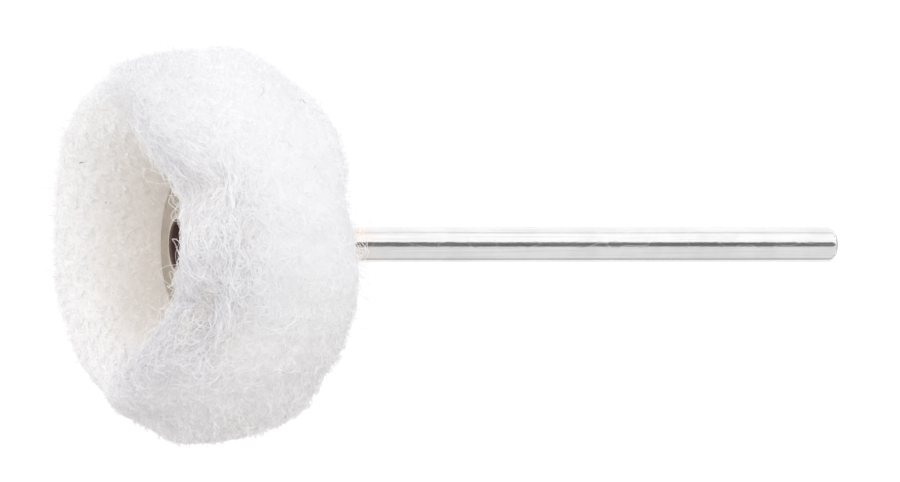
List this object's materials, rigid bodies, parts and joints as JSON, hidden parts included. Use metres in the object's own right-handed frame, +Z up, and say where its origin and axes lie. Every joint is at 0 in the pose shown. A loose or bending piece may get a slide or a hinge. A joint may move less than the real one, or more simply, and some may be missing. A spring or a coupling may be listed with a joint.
{
  "type": "felt polishing wheel",
  "caption": "Mounted polishing wheel: soft white fleece discs riveted between washers on a straight round shank, with a recessed face front and back.",
  "frame": {"origin": "on the spin axis, at the rear face of the hollow rivet, where the shank's free length begins", "axes": "+Y along the shank towards its tail, the wheel's working front faces -Y, +Z up"},
  "size_m": [0.0264, 0.052, 0.0264],
  "materials": {
    "shank_steel": "bright drawn steel, nickel plated",
    "rivet_metal": "bright plated rim, tarnished brown inside",
    "washer_metal": "satin, warm grey",
    "resin": "set adhesive resin, dark brown",
    "felt": "white needled fleece with a curly nap"
  },
  "bodies": {
    "root": {"shank": "shank_steel", "hollow_rivet": "rivet_metal", "front_washer": "washer_metal", "rear_washer": "washer_metal", "bonding_resin": "resin", "felt_layer_1": "felt", "felt_layer_2": "felt", "felt_layer_3": "felt", "felt_layer_4": "felt", "felt_layer_5": "felt", "felt_layer_6": "felt"}
  },
  "joints": []
}
